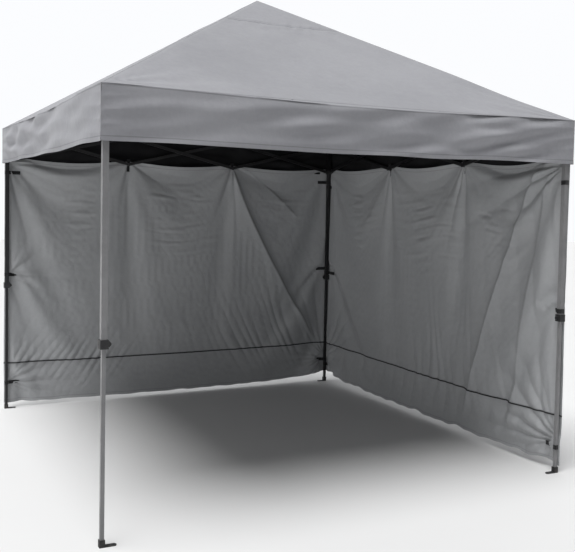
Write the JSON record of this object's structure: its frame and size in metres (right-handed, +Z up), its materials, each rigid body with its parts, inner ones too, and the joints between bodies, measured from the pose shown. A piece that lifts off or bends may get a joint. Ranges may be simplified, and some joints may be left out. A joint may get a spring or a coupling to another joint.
{
  "type": "pop-up canopy tent",
  "caption": "Square pop-up canopy tent on four telescopic legs, with a folding scissor frame, a pyramid roof and two side walls.",
  "frame": {"origin": "on the ground, under the middle of the roof", "axes": "+X to the right along the open front, +Y from the front to the back wall, +Z up"},
  "size_m": [3, 3, 3.099],
  "materials": {
    "canopy_fabric": "coated polyester, satin outside, black inside",
    "wall_fabric": "thin coated polyester, satin",
    "grey_painted_steel": "powder coat, satin",
    "black_plastic": "moulded, matte",
    "black_gloss_plastic": "moulded, smooth",
    "black_foot_plastic": "moulded, scuffed"
  },
  "bodies": {
    "roof": {"roof_hub": "black_plastic", "roof_canopy": "canopy_fabric"},
    "inner_pole_front_left": {"inner_roof_pole_front_left": "grey_painted_steel"},
    "outer_pole_front_left": {"outer_roof_pole_front_left": "grey_painted_steel"},
    "leg_front_left": {"outer_leg_front_left": "grey_painted_steel", "leg_fittings_front_left": "black_plastic"},
    "lower_leg_front_left": {"inner_leg_front_left": "grey_painted_steel", "foot_front_left": "black_foot_plastic"},
    "lock_button_front_left": {"lock_button_front_left": "black_gloss_plastic"},
    "truss_front_left_falling": {"truss_front_left_falling": "grey_painted_steel"},
    "truss_front_left_rising": {"truss_front_left_rising": "grey_painted_steel"},
    "truss_front_left_middle": {"truss_front_left_middle": "grey_painted_steel"},
    "slider_front_left": {"slider_front_left": "black_plastic"},
    "truss_left_front_falling": {"truss_left_front_falling": "grey_painted_steel"},
    "truss_left_front_rising": {"truss_left_front_rising": "grey_painted_steel"},
    "truss_left_front_middle": {"truss_left_front_middle": "grey_painted_steel"},
    "inner_pole_front_right": {"inner_roof_pole_front_right": "grey_painted_steel"},
    "outer_pole_front_right": {"outer_roof_pole_front_right": "grey_painted_steel"},
    "leg_front_right": {"outer_leg_front_right": "grey_painted_steel", "leg_fittings_front_right": "black_plastic"},
    "lower_leg_front_right": {"inner_leg_front_right": "grey_painted_steel", "foot_front_right": "black_foot_plastic"},
    "lock_button_front_right": {"lock_button_front_right": "black_gloss_plastic"},
    "truss_front_right_falling": {"truss_front_right_falling": "grey_painted_steel"},
    "truss_front_right_rising": {"truss_front_right_rising": "grey_painted_steel"},
    "truss_front_right_middle": {"truss_front_right_middle": "grey_painted_steel"},
    "slider_front_right": {"slider_front_right": "black_plastic"},
    "truss_right_front_falling": {"truss_right_front_falling": "grey_painted_steel"},
    "truss_right_front_rising": {"truss_right_front_rising": "grey_painted_steel"},
    "truss_right_front_middle": {"truss_right_front_middle": "grey_painted_steel"},
    "inner_pole_back_left": {"inner_roof_pole_back_left": "grey_painted_steel"},
    "outer_pole_back_left": {"outer_roof_pole_back_left": "grey_painted_steel"},
    "leg_back_left": {"outer_leg_back_left": "grey_painted_steel", "leg_fittings_back_left": "black_plastic", "back_wall": "wall_fabric"},
    "lower_leg_back_left": {"inner_leg_back_left": "grey_painted_steel", "foot_back_left": "black_foot_plastic"},
    "lock_button_back_left": {"lock_button_back_left": "black_gloss_plastic"},
    "truss_back_left_falling": {"truss_back_left_falling": "grey_painted_steel"},
    "truss_back_left_rising": {"truss_back_left_rising": "grey_painted_steel"},
    "truss_back_left_middle": {"truss_back_left_middle": "grey_painted_steel"},
    "slider_back_left": {"slider_back_left": "black_plastic"},
    "truss_left_back_falling": {"truss_left_back_falling": "grey_painted_steel"},
    "truss_left_back_rising": {"truss_left_back_rising": "grey_painted_steel"},
    "truss_left_back_middle": {"truss_left_back_middle": "grey_painted_steel"},
    "inner_pole_back_right": {"inner_roof_pole_back_right": "grey_painted_steel"},
    "outer_pole_back_right": {"outer_roof_pole_back_right": "grey_painted_steel"},
    "leg_back_right": {"outer_leg_back_right": "grey_painted_steel", "leg_fittings_back_right": "black_plastic", "right_wall": "wall_fabric"},
    "lower_leg_back_right": {"inner_leg_back_right": "grey_painted_steel", "foot_back_right": "black_foot_plastic"},
    "lock_button_back_right": {"lock_button_back_right": "black_gloss_plastic"},
    "truss_back_right_falling": {"truss_back_right_falling": "grey_painted_steel"},
    "truss_back_right_rising": {"truss_back_right_rising": "grey_painted_steel"},
    "truss_back_right_middle": {"truss_back_right_middle": "grey_painted_steel"},
    "slider_back_right": {"slider_back_right": "black_plastic"},
    "truss_right_back_falling": {"truss_right_back_falling": "grey_painted_steel"},
    "truss_right_back_rising": {"truss_right_back_rising": "grey_painted_steel"},
    "truss_right_back_middle": {"truss_right_back_middle": "grey_painted_steel"}
  },
  "joints": [
    {"name": "frame_fold", "type": "hinge", "parent": "roof", "child": "inner_pole_front_left", "pos_m": [-0.03677, -0.03677, 3.04774], "axis": [0.7071, -0.7071, 0], "range_deg": [0, 66.42], "deforming": ["roof_canopy", "back_wall", "right_wall"]},
    {"name": "pole_elbow_front_left", "type": "hinge", "parent": "inner_pole_front_left", "child": "outer_pole_front_left", "pos_m": [-0.73546, -0.73546, 2.65585], "axis": [0.7071, -0.7071, 0], "range_deg": [-178.35, 1]},
    {"name": "pole_to_leg_front_left", "type": "hinge", "parent": "outer_pole_front_left", "child": "leg_front_left", "pos_m": [-1.428, -1.428, 2.24268], "axis": [0.7071, -0.7071, 0], "range_deg": [-1, 111.93]},
    {"name": "leg_slide_front_left", "type": "slide", "parent": "leg_front_left", "child": "lower_leg_front_left", "axis": [0, 0, 1], "range_m": [0, 0.9]},
    {"name": "height_lock_front_left", "type": "slide", "parent": "leg_front_left", "child": "lock_button_front_left", "axis": [-1, 0, 0], "range_m": [0, 0.004], "stiffness_N_per_m": 1500, "springref_m": -0.002},
    {"name": "truss_front_left_falling_at_leg", "type": "hinge", "parent": "leg_front_left", "child": "truss_front_left_falling", "pos_m": [-1.43, -1.468, 2.21], "axis": [0, -1, 0], "range_deg": [-74.16, 1]},
    {"name": "truss_front_left_rising_crossing", "type": "hinge", "parent": "truss_front_left_falling", "child": "truss_front_left_rising", "pos_m": [-0.95333, -1.468, 2.097], "axis": [0, -1, 0], "range_deg": [-1, 147.33]},
    {"name": "truss_front_left_middle_joint", "type": "hinge", "parent": "truss_front_left_falling", "child": "truss_front_left_middle", "pos_m": [-0.47667, -1.468, 1.984], "axis": [0, -1, 0], "range_deg": [-1, 147.33]},
    {"name": "slider_front_left_pivot", "type": "hinge", "parent": "truss_front_left_rising", "child": "slider_front_left", "pos_m": [-1.43, -1.468, 1.984], "axis": [0, -1, 0], "range_deg": [-74.16, 1]},
    {"name": "truss_left_front_falling_at_leg", "type": "hinge", "parent": "leg_front_left", "child": "truss_left_front_falling", "pos_m": [-1.468, -1.43, 2.21], "axis": [1, 0, 0], "range_deg": [-74.16, 1]},
    {"name": "truss_left_front_rising_crossing", "type": "hinge", "parent": "truss_left_front_falling", "child": "truss_left_front_rising", "pos_m": [-1.468, -0.95333, 2.097], "axis": [1, 0, 0], "range_deg": [-1, 147.33]},
    {"name": "truss_left_front_middle_joint", "type": "hinge", "parent": "truss_left_front_falling", "child": "truss_left_front_middle", "pos_m": [-1.468, -0.47667, 1.984], "axis": [1, 0, 0], "range_deg": [-1, 147.33]},
    {"name": "hub_to_pole_front_right", "type": "hinge", "parent": "roof", "child": "inner_pole_front_right", "pos_m": [0.03677, -0.03677, 3.04774], "axis": [0.7071, 0.7071, 0], "range_deg": [-1, 67.42]},
    {"name": "pole_elbow_front_right", "type": "hinge", "parent": "inner_pole_front_right", "child": "outer_pole_front_right", "pos_m": [0.73546, -0.73546, 2.65585], "axis": [0.7071, 0.7071, 0], "range_deg": [-178.35, 1]},
    {"name": "pole_to_leg_front_right", "type": "hinge", "parent": "outer_pole_front_right", "child": "leg_front_right", "pos_m": [1.428, -1.428, 2.24268], "axis": [0.7071, 0.7071, 0], "range_deg": [-1, 111.93]},
    {"name": "leg_slide_front_right", "type": "slide", "parent": "leg_front_right", "child": "lower_leg_front_right", "axis": [0, 0, 1], "range_m": [0, 0.9]},
    {"name": "height_lock_front_right", "type": "slide", "parent": "leg_front_right", "child": "lock_button_front_right", "axis": [1, 0, 0], "range_m": [0, 0.004], "stiffness_N_per_m": 1500, "springref_m": -0.002},
    {"name": "truss_front_right_falling_at_leg", "type": "hinge", "parent": "leg_front_right", "child": "truss_front_right_falling", "pos_m": [1.43, -1.468, 2.21], "axis": [0, 1, 0], "range_deg": [-74.16, 1]},
    {"name": "truss_front_right_rising_crossing", "type": "hinge", "parent": "truss_front_right_falling", "child": "truss_front_right_rising", "pos_m": [0.95333, -1.468, 2.097], "axis": [0, 1, 0], "range_deg": [-1, 147.33]},
    {"name": "truss_front_right_middle_joint", "type": "hinge", "parent": "truss_front_right_falling", "child": "truss_front_right_middle", "pos_m": [0.47667, -1.468, 1.984], "axis": [0, 1, 0], "range_deg": [-1, 147.33]},
    {"name": "slider_front_right_pivot", "type": "hinge", "parent": "truss_front_right_rising", "child": "slider_front_right", "pos_m": [1.43, -1.468, 1.984], "axis": [0, 1, 0], "range_deg": [-74.16, 1]},
    {"name": "truss_right_front_falling_at_leg", "type": "hinge", "parent": "leg_front_right", "child": "truss_right_front_falling", "pos_m": [1.468, -1.43, 2.21], "axis": [1, 0, 0], "range_deg": [-74.16, 1]},
    {"name": "truss_right_front_rising_crossing", "type": "hinge", "parent": "truss_right_front_falling", "child": "truss_right_front_rising", "pos_m": [1.468, -0.95333, 2.097], "axis": [1, 0, 0], "range_deg": [-1, 147.33]},
    {"name": "truss_right_front_middle_joint", "type": "hinge", "parent": "truss_right_front_falling", "child": "truss_right_front_middle", "pos_m": [1.468, -0.47667, 1.984], "axis": [1, 0, 0], "range_deg": [-1, 147.33]},
    {"name": "hub_to_pole_back_left", "type": "hinge", "parent": "roof", "child": "inner_pole_back_left", "pos_m": [-0.03677, 0.03677, 3.04774], "axis": [-0.7071, -0.7071, 0], "range_deg": [-1, 67.42]},
    {"name": "pole_elbow_back_left", "type": "hinge", "parent": "inner_pole_back_left", "child": "outer_pole_back_left", "pos_m": [-0.73546, 0.73546, 2.65585], "axis": [-0.7071, -0.7071, 0], "range_deg": [-178.35, 1]},
    {"name": "pole_to_leg_back_left", "type": "hinge", "parent": "outer_pole_back_left", "child": "leg_back_left", "pos_m": [-1.428, 1.428, 2.24268], "axis": [-0.7071, -0.7071, 0], "range_deg": [-1, 111.93]},
    {"name": "leg_slide_back_left", "type": "slide", "parent": "leg_back_left", "child": "lower_leg_back_left", "axis": [0, 0, 1], "range_m": [0, 0.9]},
    {"name": "height_lock_back_left", "type": "slide", "parent": "leg_back_left", "child": "lock_button_back_left", "axis": [-1, 0, 0], "range_m": [0, 0.004], "stiffness_N_per_m": 1500, "springref_m": -0.002},
    {"name": "truss_back_left_falling_at_leg", "type": "hinge", "parent": "leg_back_left", "child": "truss_back_left_falling", "pos_m": [-1.43, 1.468, 2.21], "axis": [0, -1, 0], "range_deg": [-74.16, 1]},
    {"name": "truss_back_left_rising_crossing", "type": "hinge", "parent": "truss_back_left_falling", "child": "truss_back_left_rising", "pos_m": [-0.95333, 1.468, 2.097], "axis": [0, -1, 0], "range_deg": [-1, 147.33]},
    {"name": "truss_back_left_middle_joint", "type": "hinge", "parent": "truss_back_left_falling", "child": "truss_back_left_middle", "pos_m": [-0.47667, 1.468, 1.984], "axis": [0, -1, 0], "range_deg": [-1, 147.33]},
    {"name": "slider_back_left_pivot", "type": "hinge", "parent": "truss_back_left_rising", "child": "slider_back_left", "pos_m": [-1.43, 1.468, 1.984], "axis": [0, -1, 0], "range_deg": [-74.16, 1]},
    {"name": "truss_left_back_falling_at_leg", "type": "hinge", "parent": "leg_back_left", "child": "truss_left_back_falling", "pos_m": [-1.468, 1.43, 2.21], "axis": [-1, 0, 0], "range_deg": [-74.16, 1]},
    {"name": "truss_left_back_rising_crossing", "type": "hinge", "parent": "truss_left_back_falling", "child": "truss_left_back_rising", "pos_m": [-1.468, 0.95333, 2.097], "axis": [-1, 0, 0], "range_deg": [-1, 147.33]},
    {"name": "truss_left_back_middle_joint", "type": "hinge", "parent": "truss_left_back_falling", "child": "truss_left_back_middle", "pos_m": [-1.468, 0.47667, 1.984], "axis": [-1, 0, 0], "range_deg": [-1, 147.33]},
    {"name": "hub_to_pole_back_right", "type": "hinge", "parent": "roof", "child": "inner_pole_back_right", "pos_m": [0.03677, 0.03677, 3.04774], "axis": [-0.7071, 0.7071, 0], "range_deg": [-1, 67.42]},
    {"name": "pole_elbow_back_right", "type": "hinge", "parent": "inner_pole_back_right", "child": "outer_pole_back_right", "pos_m": [0.73546, 0.73546, 2.65585], "axis": [-0.7071, 0.7071, 0], "range_deg": [-178.35, 1]},
    {"name": "pole_to_leg_back_right", "type": "hinge", "parent": "outer_pole_back_right", "child": "leg_back_right", "pos_m": [1.428, 1.428, 2.24268], "axis": [-0.7071, 0.7071, 0], "range_deg": [-1, 111.93]},
    {"name": "leg_slide_back_right", "type": "slide", "parent": "leg_back_right", "child": "lower_leg_back_right", "axis": [0, 0, 1], "range_m": [0, 0.9]},
    {"name": "height_lock_back_right", "type": "slide", "parent": "leg_back_right", "child": "lock_button_back_right", "axis": [1, 0, 0], "range_m": [0, 0.004], "stiffness_N_per_m": 1500, "springref_m": -0.002},
    {"name": "truss_back_right_falling_at_leg", "type": "hinge", "parent": "leg_back_right", "child": "truss_back_right_falling", "pos_m": [1.43, 1.468, 2.21], "axis": [0, 1, 0], "range_deg": [-74.16, 1]},
    {"name": "truss_back_right_rising_crossing", "type": "hinge", "parent": "truss_back_right_falling", "child": "truss_back_right_rising", "pos_m": [0.95333, 1.468, 2.097], "axis": [0, 1, 0], "range_deg": [-1, 147.33]},
    {"name": "truss_back_right_middle_joint", "type": "hinge", "parent": "truss_back_right_falling", "child": "truss_back_right_middle", "pos_m": [0.47667, 1.468, 1.984], "axis": [0, 1, 0], "range_deg": [-1, 147.33]},
    {"name": "slider_back_right_pivot", "type": "hinge", "parent": "truss_back_right_rising", "child": "slider_back_right", "pos_m": [1.43, 1.468, 1.984], "axis": [0, 1, 0], "range_deg": [-74.16, 1]},
    {"name": "truss_right_back_falling_at_leg", "type": "hinge", "parent": "leg_back_right", "child": "truss_right_back_falling", "pos_m": [1.468, 1.43, 2.21], "axis": [-1, 0, 0], "range_deg": [-74.16, 1]},
    {"name": "truss_right_back_rising_crossing", "type": "hinge", "parent": "truss_right_back_falling", "child": "truss_right_back_rising", "pos_m": [1.468, 0.95333, 2.097], "axis": [-1, 0, 0], "range_deg": [-1, 147.33]},
    {"name": "truss_right_back_middle_joint", "type": "hinge", "parent": "truss_right_back_falling", "child": "truss_right_back_middle", "pos_m": [1.468, 0.47667, 1.984], "axis": [-1, 0, 0], "range_deg": [-1, 147.33]}
  ],
  "couplings": [
    {"joint": "pole_elbow_front_left", "follows": "frame_fold", "ratio": -2.67},
    {"joint": "pole_to_leg_front_left", "follows": "frame_fold", "ratio": 1.67},
    {"joint": "truss_front_left_falling_at_leg", "follows": "frame_fold", "ratio": -1.1015},
    {"joint": "truss_front_left_rising_crossing", "follows": "frame_fold", "ratio": 2.2029},
    {"joint": "truss_front_left_middle_joint", "follows": "frame_fold", "ratio": 2.2029},
    {"joint": "slider_front_left_pivot", "follows": "frame_fold", "ratio": -1.1015},
    {"joint": "truss_left_front_falling_at_leg", "follows": "frame_fold", "ratio": -1.1015},
    {"joint": "truss_left_front_rising_crossing", "follows": "frame_fold", "ratio": 2.2029},
    {"joint": "truss_left_front_middle_joint", "follows": "frame_fold", "ratio": 2.2029},
    {"joint": "hub_to_pole_front_right", "follows": "frame_fold", "ratio": 1},
    {"joint": "pole_elbow_front_right", "follows": "frame_fold", "ratio": -2.67},
    {"joint": "pole_to_leg_front_right", "follows": "frame_fold", "ratio": 1.67},
    {"joint": "truss_front_right_falling_at_leg", "follows": "frame_fold", "ratio": -1.1015},
    {"joint": "truss_front_right_rising_crossing", "follows": "frame_fold", "ratio": 2.2029},
    {"joint": "truss_front_right_middle_joint", "follows": "frame_fold", "ratio": 2.2029},
    {"joint": "slider_front_right_pivot", "follows": "frame_fold", "ratio": -1.1015},
    {"joint": "truss_right_front_falling_at_leg", "follows": "frame_fold", "ratio": -1.1015},
    {"joint": "truss_right_front_rising_crossing", "follows": "frame_fold", "ratio": 2.2029},
    {"joint": "truss_right_front_middle_joint", "follows": "frame_fold", "ratio": 2.2029},
    {"joint": "hub_to_pole_back_left", "follows": "frame_fold", "ratio": 1},
    {"joint": "pole_elbow_back_left", "follows": "frame_fold", "ratio": -2.67},
    {"joint": "pole_to_leg_back_left", "follows": "frame_fold", "ratio": 1.67},
    {"joint": "truss_back_left_falling_at_leg", "follows": "frame_fold", "ratio": -1.1015},
    {"joint": "truss_back_left_rising_crossing", "follows": "frame_fold", "ratio": 2.2029},
    {"joint": "truss_back_left_middle_joint", "follows": "frame_fold", "ratio": 2.2029},
    {"joint": "slider_back_left_pivot", "follows": "frame_fold", "ratio": -1.1015},
    {"joint": "truss_left_back_falling_at_leg", "follows": "frame_fold", "ratio": -1.1015},
    {"joint": "truss_left_back_rising_crossing", "follows": "frame_fold", "ratio": 2.2029},
    {"joint": "truss_left_back_middle_joint", "follows": "frame_fold", "ratio": 2.2029},
    {"joint": "hub_to_pole_back_right", "follows": "frame_fold", "ratio": 1},
    {"joint": "pole_elbow_back_right", "follows": "frame_fold", "ratio": -2.67},
    {"joint": "pole_to_leg_back_right", "follows": "frame_fold", "ratio": 1.67},
    {"joint": "truss_back_right_falling_at_leg", "follows": "frame_fold", "ratio": -1.1015},
    {"joint": "truss_back_right_rising_crossing", "follows": "frame_fold", "ratio": 2.2029},
    {"joint": "truss_back_right_middle_joint", "follows": "frame_fold", "ratio": 2.2029},
    {"joint": "slider_back_right_pivot", "follows": "frame_fold", "ratio": -1.1015},
    {"joint": "truss_right_back_falling_at_leg", "follows": "frame_fold", "ratio": -1.1015},
    {"joint": "truss_right_back_rising_crossing", "follows": "frame_fold", "ratio": 2.2029},
    {"joint": "truss_right_back_middle_joint", "follows": "frame_fold", "ratio": 2.2029}
  ]
}
